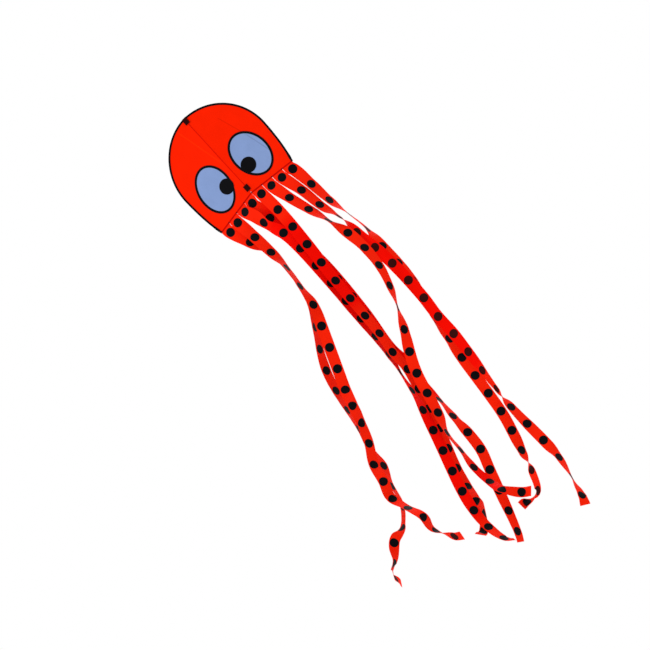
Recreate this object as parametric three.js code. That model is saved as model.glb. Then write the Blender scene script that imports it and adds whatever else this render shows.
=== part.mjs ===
// Octopus kite: a domed sail on a bowed edge rod and a spine, with eyes sewn on and eight ribbon tails.
// Millimetres. +Z points from the foot of the spine to the nose, the face with the eyes looks along -Y.
// The origin is on the spine at the height of the sail's widest line, where the bridle is towed.

import * as THREE from 'three';
import * as BufferGeometryUtils from 'three/addons/utils/BufferGeometryUtils.js';

// ---- driving dimensions ----

const DOME_HALF_WIDTH = 408;    // spine to the outer edge of the sail, along the wing
const DOME_HEIGHT = 418;        // widest line to the nose
const CORNER = [368, -352];     // lower corner of each wing: along the wing, and height
const SIDE_PULL = [404, -220];  // point that the edge below the widest line bends towards
const FOOT_Z = -312;            // base edge at the spine
const DIHEDRAL = THREE.MathUtils.degToRad(5.8);  // each wing leans back from the spine

const GAP = 0.3;                // clearance between pieces that touch
const SAIL_THICK = 1.5;
const LAYER_THICK = 1.0;        // a piece of cloth sewn onto the sail
const SLEEVE_WIDTH = 12;
const SLEEVE_THICK = 7;
const SLEEVE_BORE = 2.4;        // radius
const BOW_RADIUS = 2.0;
const TIP_CAP_RADIUS = 7.5;
const TIP_CAP_RISE = 3;         // bottom of the cap on each bow rod's end, above the wing's corner
const TIP_CAP_HEIGHT = 20;
const TIP_CAP_FLOOR = 4.5;
const CAP_NOTCH = 3.5;          // cut from the sail's lower corner and the hem's end to clear the cap
const HEM_HEIGHT = 10;
const HEM_THICK = 3.2;

const SPINE_Y = 6.3;            // axis of the spine rod behind the sail
const SPINE_RADIUS = 2.5;
const SPINE_SLEEVE_OUTER = 3.8;
const SPINE_SLEEVE_INNER = 2.9;
const SPINE_SLEEVE_Z = [-278, 400];
const SPINE_ROD_Z = [-292, 407];
const SEAM_FIN_HALF = 1.2;      // folded seam between the two wings
const PANEL_INNER = 2.0;        // inner edge of a wing's cloth, from the spine

const PATCH_WIDTH = 37;
const NOSE_PATCH_Z = 368;       // lower edge of the nose pocket
const FOOT_PATCH_Z = [-283, -236];

const EYE_CENTRE = [184, -98];
const EYE_SIZE = [138, 185];    // outer half axes, across and along the wing
const EYE_LEAN = THREE.MathUtils.degToRad(8);
const EYE_RIM = 17;
const PUPIL_RADIUS = 57;
const PUPIL_SHIFT_LEFT = [-78, -47];   // from the eye's centre, towards the spine and down
const PUPIL_SHIFT_RIGHT = [-66, -48];

const TAILS_PER_WING = 4;
const TAIL_PITCH = 91.5;        // along the base edge
const TAIL_TOP_WIDTH = 88;
const TAIL_END_WIDTH = 75;
const TAIL_THICK = 2.0;
const TAIL_LEAD = 25;           // the first stretch hangs straight down from the seam
const TAIL_STEP = 42;           // spacing of the ribbon's cross-sections
const TACK_SIZE = [7, 8];       // bar tack at the top of each slit

// Each tail's middle line below its seam: x, depth, height, and the twist of the ribbon in degrees,
// where 0 faces the front and 90 turns the +X edge to the back.
const TAIL_ROUTES = [
  [
    [-260, 45, -535, 20], [-205, 62, -701, 84], [-222, 90, -1024, 90], [-260, 90, -1172, 76],
    [-349, 90, -1310, 80], [-495, 90, -1585, 55], [-605, 90, -2035, 90], [-640, 95, -2195, 75],
    [-650, 95, -2345, 65], [-700, 95, -2480, 85], [-745, 95, -2640, 85], [-840, 90, -2755, 85],
    [-980, 175, -2770, 20], [-1075, 125, -2895, 86], [-1125, 150, -2912, 103], [-1142, 108, -2965, 120],
    [-1125, 62, -3023, 130], [-1121, 44, -3054, 128],
  ],
  [
    [-205, 20, -540, 35], [-188, 2, -705, 45], [-175, -10, -880, 86], [-195, -15, -1040, 81],
    [-215, -15, -1200, 50], [-275, -15, -1350, 20], [-400, -15, -1650, 15], [-460, -15, -1795, 25],
    [-480, -95, -1935, 40], [-540, -5, -2045, 55], [-595, -20, -2190, 50], [-670, -25, -2320, 45],
    [-690, -75, -2470, 35], [-745, -5, -2570, 40], [-700, -50, -2710, 65], [-645, -100, -2850, 50],
    [-675, 5, -2960, 75], [-595, -15, -3100, 135], [-540, -50, -3145, 140],
  ],
  [
    [-127, 1, -378, -6], [-98, -12, -440, 5], [-69, -12, -560, -34], [-20, -26, -686, 15],
    [-4, -28, -851, 15], [-21, -14, -1339, 40], [-60, 0, -1840, 75], [-78, -40, -2005, 95],
    [-95, -75, -2170, 80], [-180, -75, -2485, 35], [-320, -75, -2930, 15], [-350, -75, -3085, 35],
    [-355, -70, -3235, 45], [-315, -115, -3385, 65], [-275, -70, -3440, 85],
  ],
  [
    [-50.5, 10, -376, -6], [-43, 27, -425, 6], [-27, 60, -664, 15], [17, 78, -987, 15],
    [0, 78, -1472, 15], [-37, 78, -1797, 15], [-26, 90, -1959, 15], [-51, 112, -2154, 45],
    [-34, 104, -2326, 86], [-35, 72, -2485, 65], [-35, 66, -2640, 30], [-44, 39, -2791, 15],
    [-100, 66, -2930, 15], [-256, 60, -3394, 62], [-286, 60, -3454, 66],
  ],
  [
    [60, -10, -530, 10], [55, -45, -865, 25], [30, -50, -1195, 40], [5, -45, -1695, 50],
    [-20, -30, -1855, 50], [-30, -5, -2005, 50], [-113, 30, -2297, 45], [-155, 45, -2450, 50],
    [-255, 45, -2740, 55], [-290, 45, -2885, 55], [-300, -25, -3035, 50], [-345, 85, -3100, 80],
    [-420, 5, -3220, 55], [-470, 65, -3205, 60],
  ],
  [
    [143, 1, -385, 9], [184, -18, -540, 40], [235, -30, -705, 52], [285, -35, -860, 86],
    [325, -30, -1020, 32], [345, -44, -1190, 48], [335, -52, -1360, 58], [290, -52, -1515, 70],
    [235, -52, -1645, 100], [155, -52, -1805, 55], [75, -52, -1945, 20], [10, -52, -2090, 15],
    [-70, -52, -2400, 45], [-120, -52, -2545, 88], [-130, -52, -2700, 86], [-145, -52, -2860, 62],
    [-130, -52, -3015, 55], [-80, -135, -3140, 50], [-15, -36, -3230, 15], [45, -52, -3275, 15],
  ],
  [
    [236, 16, -395, 9], [274, 20, -545, 42], [307, 20, -747, 55], [345, 20, -875, 90],
    [365, 20, -1045, 155], [400, 20, -1380, 185], [400, 20, -1710, 190], [385, 20, -1880, 180],
    [385, 15, -2055, 180], [375, 10, -2225, 165], [345, 5, -2565, 130], [335, 5, -2735, 55],
    [345, 5, -3075, 15], [345, 5, -3235, 65], [312, 5, -3414, 100], [300, -30, -3516, 72],
    [289, -52, -3575, 55], [267, -62, -3628, 30],
  ],
  [
    [328, 46, -395, 9], [348, 62, -565, 46], [360, 85, -725, 62], [387, 112, -882, 97],
    [414, 106, -1045, 92], [414, 96, -1215, 42], [418, 85, -1534, 60], [343, 85, -1874, 75],
    [324, 76, -2040, 55], [299, 76, -2205, 25], [244, 64, -2704, 15], [204, 64, -2864, 15],
    [159, 64, -3014, 60], [118, 58, -3158, 150], [53, 58, -3283, 145], [-85, 130, -3260, 40],
    [-108, 68, -3272, 30],
  ],
];

// ---- materials ----

const cloth = (color) => new THREE.MeshStandardMaterial({ color, roughness: 0.6, side: THREE.DoubleSide });
const ripstop = cloth(0xff2400);
const tailRibbon = cloth(0xff260a);
const hemBinding = cloth(0xb01208);
const blackBinding = cloth(0x101014);
const webbing = cloth(0x2d0c0a);
const eyeCloth = cloth(0x829bcd);
const fibreglass = new THREE.MeshStandardMaterial({ color: 0x1c1c1e, roughness: 0.35 });
const vinyl = new THREE.MeshStandardMaterial({ color: 0x0c0c0d, roughness: 0.45 });

// ---- helpers ----

const kite = new THREE.Group();

const addMesh = (parent, name, geometry, material) => {
  const mesh = new THREE.Mesh(geometry, material);
  mesh.name = name;
  parent.add(mesh);
  return mesh;
};

// A flat outline in the plane of a wing, made solid between two depths.
const plate = (shape, front, back, curveSegments = 12) => {
  const geometry = new THREE.ExtrudeGeometry(shape, { depth: back - front, bevelEnabled: false, curveSegments });
  geometry.rotateX(Math.PI / 2);
  geometry.translate(0, back, 0);
  return geometry;
};

const polygon = (points) => new THREE.Shape(points.map(([x, y]) => new THREE.Vector2(x, y)));

const baseZ = (along) => FOOT_Z + (CORNER[1] - FOOT_Z) * along / CORNER[0];

// The sail's curved edge from the nose to the lower corner, moved inwards by an inset. It starts at a
// distance from the spine, and ends at the height given.
const edgePoints = (side, inset, startAlong, bottom, steps) => {
  const lower = new THREE.QuadraticBezierCurve(
    new THREE.Vector2(DOME_HALF_WIDTH, 0),
    new THREE.Vector2(...SIDE_PULL),
    new THREE.Vector2(...CORNER),
  );
  const moved = [];
  for (let i = 0; i < steps; i++) {
    const angle = Math.PI / 2 * (1 - i / steps);
    const outer = new THREE.Vector2(DOME_HALF_WIDTH * Math.cos(angle), DOME_HEIGHT * Math.sin(angle));
    const normal = new THREE.Vector2(outer.x / DOME_HALF_WIDTH ** 2, outer.y / DOME_HEIGHT ** 2).normalize();
    moved.push(outer.addScaledVector(normal, -inset));
  }
  const lowerSteps = Math.round(steps * 0.6);
  for (let i = 0; i <= lowerSteps; i++) {
    const tangent = lower.getTangent(i / lowerSteps);
    const normal = new THREE.Vector2(-tangent.y, tangent.x);
    moved.push(lower.getPoint(i / lowerSteps).addScaledVector(normal, -inset));
  }
  const kept = moved.filter((p) => p.x > startAlong + 1 && p.y > bottom + 1);
  const first = moved.find((p) => p.x > startAlong + 1);
  const height = Math.sqrt(1 - (startAlong / (DOME_HALF_WIDTH - inset)) ** 2) * (DOME_HEIGHT - inset);
  const [beforeEnd, end] = moved.slice(-2);
  const run = (end.x - beforeEnd.x) / (end.y - beforeEnd.y);
  const start = new THREE.Vector2(startAlong, Math.max(height, first.y));
  return [start, ...kept, new THREE.Vector2(end.x + run * (bottom - end.y), bottom)].map((p) => [side * p.x, p.y]);
};

// A round or oval section swept along the sail's edge.
const sweptAlongEdge = (side, startAlong, bottom, section, steps) => {
  const route = edgePoints(side, SLEEVE_WIDTH / 2, startAlong, bottom, 16);
  const path = new THREE.CatmullRomCurve3(route.map(([x, z]) => new THREE.Vector3(x, 0, z)));
  return new THREE.ExtrudeGeometry(section, { extrudePath: path, steps, curveSegments: 6, bevelEnabled: false });
};

const disc = (radius) => {
  const shape = new THREE.Shape();
  shape.absarc(0, 0, radius, 0, Math.PI * 2);
  return shape;
};

const ellipsePath = (PathType, side, shrink) => {
  const path = new PathType();
  path.absellipse(side * EYE_CENTRE[0], EYE_CENTRE[1], EYE_SIZE[0] - shrink, EYE_SIZE[1] - shrink,
    0, Math.PI * 2, false, side * EYE_LEAN);
  return path;
};

// ---- one wing ----

const wingPanel = (side) => {
  const inset = SLEEVE_WIDTH + GAP;
  const aboveHem = HEM_HEIGHT + GAP;
  const bottom = baseZ(CORNER[0] - inset) + aboveHem;
  const edge = edgePoints(side, inset, PANEL_INNER, bottom, 30);
  const [cornerX] = edge.pop();
  const notch = [[cornerX, bottom + TIP_CAP_HEIGHT], [cornerX - side * CAP_NOTCH, bottom + TIP_CAP_HEIGHT / 2]];
  const aboveNotch = edge.filter(([, z]) => z > bottom + TIP_CAP_HEIGHT + 2);
  const foot = [side * PANEL_INNER, baseZ(PANEL_INNER) + aboveHem];
  const corner = [cornerX - side * CAP_NOTCH, bottom];
  return plate(polygon([...aboveNotch, ...notch, corner, foot]), -SAIL_THICK / 2, SAIL_THICK / 2);
};

const hemBand = (side) => {
  const inner = PANEL_INNER;
  const outer = CORNER[0] - SLEEVE_WIDTH - GAP - CAP_NOTCH / 2;
  const outline = [
    [side * inner, baseZ(inner)],
    [side * outer, baseZ(outer)],
    [side * outer, baseZ(outer) + HEM_HEIGHT],
    [side * inner, baseZ(inner) + HEM_HEIGHT],
  ];
  return plate(polygon(outline), -HEM_THICK / 2, HEM_THICK / 2);
};

const edgeSleeve = (side) => {
  const section = new THREE.Shape();
  section.absellipse(0, 0, SLEEVE_THICK / 2, SLEEVE_WIDTH / 2, 0, Math.PI * 2);
  section.holes.push(new THREE.Path().absarc(0, 0, SLEEVE_BORE, 0, Math.PI * 2, true));
  return sweptAlongEdge(side, 14, CORNER[1] + TIP_CAP_RISE + TIP_CAP_HEIGHT + 1, section, 56);
};

const bowRod = (side) => {
  const bottom = CORNER[1] + TIP_CAP_RISE + TIP_CAP_FLOOR + 1;
  return sweptAlongEdge(side, 3, bottom, disc(BOW_RADIUS), 56);
};

// A vinyl cap over the end of the bow rod, closed at the bottom.
const tipCap = (side) => {
  const outer = TIP_CAP_RADIUS;
  const bore = BOW_RADIUS + 2 * GAP;
  const height = TIP_CAP_HEIGHT;
  const floor = TIP_CAP_FLOOR;
  const profile = [
    [0, 0], [outer - 1.5, 0], [outer, 1.5], [outer, height - 1], [outer - 1, height],
    [bore, height], [bore, floor], [0, floor],
  ];
  const geometry = new THREE.LatheGeometry(profile.map(([r, z]) => new THREE.Vector2(r, z)), 20);
  const lean = Math.atan2(SIDE_PULL[0] - CORNER[0], SIDE_PULL[1] - CORNER[1]);
  geometry.rotateX(Math.PI / 2);
  geometry.rotateY(side * lean);
  const [x, z] = edgePoints(side, SLEEVE_WIDTH / 2, 0, CORNER[1] + TIP_CAP_RISE, 16).at(-1);
  geometry.translate(x, 0, z);
  return mergedByPosition(geometry);
};

const mergedByPosition = (geometry) => {
  geometry.deleteAttribute('normal');
  geometry.deleteAttribute('uv');
  return BufferGeometryUtils.mergeVertices(geometry, 1e-4);
};

const eyeWhite = (side, front) => plate(ellipsePath(THREE.Shape, side, EYE_RIM + GAP), front - LAYER_THICK, front, 24);

const eyeRim = (side, front) => {
  const ring = ellipsePath(THREE.Shape, side, 0);
  ring.holes.push(ellipsePath(THREE.Path, side, EYE_RIM));
  return plate(ring, front - LAYER_THICK, front, 24);
};

const pupil = (side, front) => {
  const shape = new THREE.Shape();
  const [x, z] = side < 0 ? PUPIL_SHIFT_LEFT : PUPIL_SHIFT_RIGHT;
  shape.absarc(side * (EYE_CENTRE[0] + x), EYE_CENTRE[1] + z, PUPIL_RADIUS, 0, Math.PI * 2);
  return plate(shape, front - LAYER_THICK, front, 16);
};

// A bar tack stands on the front of the hem, just above the slit between two tails.
const barTack = (along, front) => {
  const low = baseZ(Math.abs(along)) + GAP;
  const half = TACK_SIZE[0] / 2;
  const outline = [[-half, 0], [half, 0], [half, TACK_SIZE[1]], [-half, TACK_SIZE[1]]];
  return plate(polygon(outline.map(([x, z]) => [along + x, low + z + 0.5])), front - LAYER_THICK, front);
};

const buildWing = (side) => {
  const name = side < 0 ? 'left' : 'right';
  const wing = new THREE.Group();
  wing.rotation.z = side * DIHEDRAL;
  kite.add(wing);
  const onSail = -SAIL_THICK / 2 - GAP;
  const onEye = onSail - LAYER_THICK - GAP;
  addMesh(wing, `sail_panel_${name}`, wingPanel(side), ripstop);
  addMesh(wing, `base_hem_${name}`, hemBand(side), hemBinding);
  addMesh(wing, `edge_sleeve_${name}`, edgeSleeve(side), blackBinding);
  addMesh(wing, `bow_rod_${name}`, bowRod(side), fibreglass);
  addMesh(wing, `tip_cap_${name}`, tipCap(side), vinyl);
  addMesh(wing, `eye_rim_${name}`, eyeRim(side, onSail), blackBinding);
  addMesh(wing, `eye_white_${name}`, eyeWhite(side, onSail), eyeCloth);
  addMesh(wing, `pupil_${name}`, pupil(side, onEye), blackBinding);
  for (let slit = 1; slit < TAILS_PER_WING; slit++) {
    const tack = barTack(side * slit * TAIL_PITCH, -HEM_THICK / 2 - GAP);
    addMesh(wing, `bar_tack_${name}_${slit}`, tack, blackBinding);
  }
};

// ---- the spine ----

// The cloth tube that holds the spine rod, with the seam that joins the two wings standing forward of it.
const spineSleeve = () => {
  const neck = Math.asin(SEAM_FIN_HALF / SPINE_SLEEVE_OUTER);
  const section = new THREE.Shape();
  section.moveTo(-SEAM_FIN_HALF, SAIL_THICK);
  section.lineTo(SEAM_FIN_HALF, SAIL_THICK);
  section.absarc(0, -SPINE_Y, SPINE_SLEEVE_OUTER, Math.PI / 2 - neck, Math.PI / 2 + neck - Math.PI * 2, true);
  section.closePath();
  section.holes.push(new THREE.Path().absarc(0, -SPINE_Y, SPINE_SLEEVE_INNER, 0, Math.PI * 2));
  const [low, high] = SPINE_SLEEVE_Z;
  const geometry = new THREE.ExtrudeGeometry(section, { depth: high - low, bevelEnabled: false, curveSegments: 10 });
  geometry.rotateX(Math.PI);
  geometry.translate(0, 0, high);
  return geometry;
};

const spineRod = () => {
  const [low, high] = SPINE_ROD_Z;
  const geometry = new THREE.CylinderGeometry(SPINE_RADIUS, SPINE_RADIUS, high - low, 20);
  geometry.rotateX(Math.PI / 2);
  geometry.translate(0, SPINE_Y, (low + high) / 2);
  return mergedByPosition(geometry);
};

const spineEndCap = () => {
  const bore = SPINE_RADIUS + GAP;
  const top = SPINE_SLEEVE_Z[0] - GAP;
  const floor = SPINE_ROD_Z[0] - GAP;
  const low = floor - 3;
  const profile = [[0, low], [3.6, low], [4.8, low + 1.2], [4.8, top], [bore, top], [bore, floor], [0, floor]];
  const geometry = new THREE.LatheGeometry(profile.map(([r, z]) => new THREE.Vector2(r, z)), 20);
  geometry.rotateX(Math.PI / 2);
  geometry.translate(0, SPINE_Y, 0);
  return mergedByPosition(geometry);
};

// Webbing folded over the nose: a front leaf, the fold, and a back leaf behind the spine rod's end.
const nosePocket = () => {
  const front = -SLEEVE_THICK / 2 - 0.5;
  const back = SPINE_Y + SPINE_SLEEVE_OUTER + GAP;
  const top = DOME_HEIGHT + 0.8;
  const leaf = 2;
  const outline = [
    [front, NOSE_PATCH_Z], [front, top], [back, top], [back, NOSE_PATCH_Z + 24],
    [back + leaf, NOSE_PATCH_Z + 24], [back + leaf, top + leaf], [front - leaf, top + leaf], [front - leaf, NOSE_PATCH_Z],
  ];
  const shape = polygon(outline);
  const geometry = new THREE.ExtrudeGeometry(shape, { depth: PATCH_WIDTH, bevelEnabled: false });
  geometry.applyMatrix4(new THREE.Matrix4().makeBasis(
    new THREE.Vector3(0, 1, 0), new THREE.Vector3(0, 0, 1), new THREE.Vector3(1, 0, 0)));
  geometry.translate(-PATCH_WIDTH / 2, 0, 0);
  return geometry;
};

const footPatch = () => {
  const half = PATCH_WIDTH / 2;
  const [low, high] = FOOT_PATCH_Z;
  return plate(polygon([[-half, low], [half, low], [half, high], [-half, high]]), -4, -2);
};

// A vinyl tube that joins the two bow rods behind the nose pocket.
const noseConnector = () => {
  const inset = SLEEVE_WIDTH / 2;
  const at = (along) => {
    const z = (DOME_HEIGHT - inset) * Math.sqrt(1 - (along / (DOME_HALF_WIDTH - inset)) ** 2);
    return new THREE.Vector3(along, Math.abs(along) * Math.tan(DIHEDRAL), z);
  };
  const path = new THREE.CatmullRomCurve3([-13.5, -7, 0, 7, 13.5].map(at));
  const section = disc(3.5);
  section.holes.push(new THREE.Path().absarc(0, 0, 2.5, 0, Math.PI * 2, true));
  return new THREE.ExtrudeGeometry(section, { extrudePath: path, steps: 8, curveSegments: 6, bevelEnabled: false });
};

// ---- the tails ----

const tailGeometry = (index) => {
  const side = index < TAILS_PER_WING ? -1 : 1;
  const along = side * (Math.abs(index - TAILS_PER_WING + 0.5)) * TAIL_PITCH;
  const slope = Math.atan2(FOOT_Z - CORNER[1], CORNER[0]);
  const outward = new THREE.Vector3(side * Math.cos(DIHEDRAL), Math.sin(DIHEDRAL), 0);
  const seam = outward.clone().multiplyScalar(side * Math.cos(slope));
  seam.z = -side * Math.sin(slope);
  const top = outward.clone().multiplyScalar(Math.abs(along));
  top.z = baseZ(Math.abs(along)) - GAP - 0.1;
  const below = top.clone();
  below.z -= TAIL_LEAD;

  const seamTwist = side * THREE.MathUtils.radToDeg(DIHEDRAL);
  const route = [[...top.toArray(), seamTwist], [...below.toArray(), seamTwist], ...TAIL_ROUTES[index]];
  const curve = new THREE.CatmullRomCurve3(route.map(([x, y, z]) => new THREE.Vector3(x, y, z)));
  const spans = route.length - 1;
  const frames = [];
  let travelled = 0;
  for (let i = 0; i < spans; i++) {
    const length = new THREE.Vector3(...route[i]).distanceTo(new THREE.Vector3(...route[i + 1]));
    const steps = Math.max(2, Math.round(length / TAIL_STEP));
    for (let j = i === 0 ? 0 : 1; j <= steps; j++) {
      const t = (i + j / steps) / spans;
      const turn = THREE.MathUtils.smoothstep(j / steps, 0, 1);
      const twist = THREE.MathUtils.degToRad(THREE.MathUtils.lerp(route[i][3], route[i + 1][3], turn));
      const point = curve.getPoint(t);
      if (frames.length > 0) travelled += point.distanceTo(frames[frames.length - 1].point);
      frames.push({ point, tangent: curve.getTangent(t), twist, travelled });
    }
  }

  const positions = [];
  for (const [i, frame] of frames.entries()) {
    const depth = new THREE.Vector3(0, 1, 0);
    depth.addScaledVector(frame.tangent, -depth.dot(frame.tangent)).normalize();
    const across = new THREE.Vector3().crossVectors(frame.tangent, depth);
    let width = across.multiplyScalar(Math.cos(frame.twist)).addScaledVector(depth, Math.sin(frame.twist));
    if (i === 0) width = seam.clone();
    const normal = new THREE.Vector3().crossVectors(frame.tangent, width).normalize();
    const half = THREE.MathUtils.lerp(TAIL_TOP_WIDTH, TAIL_END_WIDTH, frame.travelled / travelled) / 2;
    for (const [w, n] of [[-1, -1], [1, -1], [1, 1], [-1, 1]]) {
      const corner = frame.point.clone().addScaledVector(width, w * half);
      corner.addScaledVector(normal, n * TAIL_THICK / 2);
      positions.push(...corner.toArray());
    }
  }
  return { positions, rings: frames.length };
};

// A solid through rings of four corners. Front and back are split along the same diagonal.
const ribbon = ({ positions, rings }) => {
  const indices = [0, 2, 1, 0, 3, 2];
  for (let ring = 0; ring < rings - 1; ring++) {
    for (let corner = 0; corner < 4; corner++) {
      const a = ring * 4 + corner;
      const b = ring * 4 + (corner + 1) % 4;
      if (corner === 2) indices.push(a, b, b + 4, a, b + 4, a + 4);
      else indices.push(a, b, a + 4, b, b + 4, a + 4);
    }
  }
  const last = (rings - 1) * 4;
  indices.push(last, last + 1, last + 2, last, last + 2, last + 3);
  const geometry = new THREE.BufferGeometry();
  geometry.setAttribute('position', new THREE.Float32BufferAttribute(positions, 3));
  geometry.setIndex(indices);
  geometry.computeVertexNormals();
  return geometry;
};

// ---- the kite ----

buildWing(-1);
buildWing(1);
addMesh(kite, 'spine_sleeve', spineSleeve(), ripstop);
addMesh(kite, 'spine_rod', spineRod(), fibreglass);
addMesh(kite, 'spine_end_cap', spineEndCap(), vinyl);
addMesh(kite, 'nose_pocket', nosePocket(), webbing);
addMesh(kite, 'nose_connector', noseConnector(), vinyl);
addMesh(kite, 'foot_patch', footPatch(), webbing);
addMesh(kite, 'bar_tack_centre', barTack(0, -HEM_THICK / 2 - 0.8), blackBinding);
for (let index = 0; index < 2 * TAILS_PER_WING; index++) {
  addMesh(kite, `tail_${index + 1}`, ribbon(tailGeometry(index)), tailRibbon);
}

export default kite;
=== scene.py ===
import math

import bpy
from mathutils import Matrix, Vector, geometry, noise


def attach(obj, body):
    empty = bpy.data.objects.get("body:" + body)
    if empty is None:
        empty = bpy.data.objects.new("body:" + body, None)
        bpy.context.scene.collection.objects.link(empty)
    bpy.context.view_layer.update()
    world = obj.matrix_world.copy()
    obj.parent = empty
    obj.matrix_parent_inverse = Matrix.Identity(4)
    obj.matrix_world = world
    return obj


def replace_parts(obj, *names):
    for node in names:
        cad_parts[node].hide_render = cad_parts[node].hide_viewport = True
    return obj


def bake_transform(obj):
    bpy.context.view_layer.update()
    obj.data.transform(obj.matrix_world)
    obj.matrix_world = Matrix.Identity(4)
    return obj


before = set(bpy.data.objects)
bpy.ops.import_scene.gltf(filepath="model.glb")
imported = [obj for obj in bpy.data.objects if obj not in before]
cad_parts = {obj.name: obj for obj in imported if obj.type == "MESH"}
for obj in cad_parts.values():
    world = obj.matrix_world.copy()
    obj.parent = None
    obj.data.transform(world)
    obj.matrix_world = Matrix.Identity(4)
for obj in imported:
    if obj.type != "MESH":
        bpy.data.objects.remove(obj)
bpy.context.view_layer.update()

# A wing's side is the sign of its x.
WINGS = {-1: "left", 1: "right"}

# ---- the CAD source's dimensions, in millimetres ----

DOME_HALF_WIDTH = 408
DOME_HEIGHT = 418
CORNER = (368, -352)
SIDE_PULL = (404, -220)
FOOT_Z = -312
DIHEDRAL = math.radians(5.8)
SLOPE = math.atan2(FOOT_Z - CORNER[1], CORNER[0])

SLEEVE_WIDTH = 12
ROD_INSET = SLEEVE_WIDTH / 2
SPINE_Y = 6.3
SPINE_SLEEVE_Z = (-278, 400)
PATCH_HALF = 18.5
NOSE_PATCH_Z = 368
FOOT_PATCH_Z = (-283, -236)

EYE_CENTRE = (184, -98)
EYE_SIZE = (138, 185)
EYE_LEAN = math.radians(8)
EYE_RIM = 17
PUPIL_RADIUS = 57
PUPIL_CENTRES = {-1: (106, -145), 1: (118, -146)}

TAILS_PER_WING = 4
TAIL_PITCH = 91.5
TAIL_TOP_WIDTH = 88
TAIL_END_WIDTH = 75
TAIL_LEAD = 25
DOTS = 20
DOT_RADIUS = 33
FIRST_DOT = 46
LAST_DOT = 80

# Each point of a tail's middle line, and in degrees how far the tail is turned there.
# The first tail is the outermost of the left wing and the last that of the right.
TAIL_ROUTES = [
    [(-260, 45, -535, 20), (-205, 62, -701, 84), (-222, 90, -1024, 90), (-260, 90, -1172, 76),
     (-349, 90, -1310, 80), (-495, 90, -1585, 55), (-605, 90, -2035, 90), (-640, 95, -2195, 75),
     (-650, 95, -2345, 65), (-700, 95, -2480, 85), (-745, 95, -2640, 85), (-840, 90, -2755, 85),
     (-980, 175, -2770, 20), (-1075, 125, -2895, 86), (-1125, 150, -2912, 103),
     (-1142, 108, -2965, 120), (-1125, 62, -3023, 130), (-1121, 44, -3054, 128)],
    [(-205, 20, -540, 35), (-188, 2, -705, 45), (-175, -10, -880, 86), (-195, -15, -1040, 81),
     (-215, -15, -1200, 50), (-275, -15, -1350, 20), (-400, -15, -1650, 15), (-460, -15, -1795, 25),
     (-480, -95, -1935, 40), (-540, -5, -2045, 55), (-595, -20, -2190, 50), (-670, -25, -2320, 45),
     (-690, -75, -2470, 35), (-745, -5, -2570, 40), (-700, -50, -2710, 65), (-645, -100, -2850, 50),
     (-675, 5, -2960, 75), (-595, -15, -3100, 135), (-540, -50, -3145, 140)],
    [(-127, 1, -378, -6), (-98, -12, -440, 5), (-69, -12, -560, -34), (-20, -26, -686, 15),
     (-4, -28, -851, 15), (-21, -14, -1339, 40), (-60, 0, -1840, 75), (-78, -40, -2005, 95),
     (-95, -75, -2170, 80), (-180, -75, -2485, 35), (-320, -75, -2930, 15), (-350, -75, -3085, 35),
     (-355, -70, -3235, 45), (-315, -115, -3385, 65), (-275, -70, -3440, 85)],
    [(-50.5, 10, -376, -6), (-43, 27, -425, 6), (-27, 60, -664, 15), (17, 78, -987, 15),
     (0, 78, -1472, 15), (-37, 78, -1797, 15), (-26, 90, -1959, 15), (-51, 112, -2154, 45),
     (-34, 104, -2326, 86), (-35, 72, -2485, 65), (-35, 66, -2640, 30), (-44, 39, -2791, 15),
     (-100, 66, -2930, 15), (-256, 60, -3394, 62), (-286, 60, -3454, 66)],
    [(60, -10, -530, 10), (55, -45, -865, 25), (30, -50, -1195, 40), (5, -45, -1695, 50),
     (-20, -30, -1855, 50), (-30, -5, -2005, 50), (-113, 30, -2297, 45), (-155, 45, -2450, 50),
     (-255, 45, -2740, 55), (-290, 45, -2885, 55), (-300, -25, -3035, 50), (-345, 85, -3100, 80),
     (-420, 5, -3220, 55), (-470, 65, -3205, 60)],
    [(143, 1, -385, 9), (184, -18, -540, 40), (235, -30, -705, 52), (285, -35, -860, 86),
     (325, -30, -1020, 32), (345, -44, -1190, 48), (335, -52, -1360, 58), (290, -52, -1515, 70),
     (235, -52, -1645, 100), (155, -52, -1805, 55), (75, -52, -1945, 20), (10, -52, -2090, 15),
     (-70, -52, -2400, 45), (-120, -52, -2545, 88), (-130, -52, -2700, 86), (-145, -52, -2860, 62),
     (-130, -52, -3015, 55), (-80, -135, -3140, 50), (-15, -36, -3230, 15), (45, -52, -3275, 15)],
    [(236, 16, -395, 9), (274, 20, -545, 42), (307, 20, -747, 55), (345, 20, -875, 90),
     (365, 20, -1045, 155), (400, 20, -1380, 185), (400, 20, -1710, 190), (385, 20, -1880, 180),
     (385, 15, -2055, 180), (375, 10, -2225, 165), (345, 5, -2565, 130), (335, 5, -2735, 55),
     (345, 5, -3075, 15), (345, 5, -3235, 65), (312, 5, -3414, 100), (300, -30, -3516, 72),
     (289, -52, -3575, 55), (267, -62, -3628, 30)],
    [(328, 46, -395, 9), (348, 62, -565, 46), (360, 85, -725, 62), (387, 112, -882, 97),
     (414, 106, -1045, 92), (414, 96, -1215, 42), (418, 85, -1534, 60), (343, 85, -1874, 75),
     (324, 76, -2040, 55), (299, 76, -2205, 25), (244, 64, -2704, 15), (204, 64, -2864, 15),
     (159, 64, -3014, 60), (118, 58, -3158, 150), (53, 58, -3283, 145), (-85, 130, -3260, 40),
     (-108, 68, -3272, 30)],
]

# How far the middle dots of each tail sit below even spacing.
DOT_CREEP = (0, 30, 25, 12, 50, 38, 10, 48)

# Where another tail lies behind each tail, from and to, measured from its top.
# There the tail's colour is painted darker: painted shade for light that the tail behind keeps from shining
# through.
DOUBLED_SHADE = (None, None, (250, 2900), (150, 2000), (330, 1120), (2620, 2960), (620, 2050), None)

# ---- how the cloth is cut, sewn and creased, in millimetres ----

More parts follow.
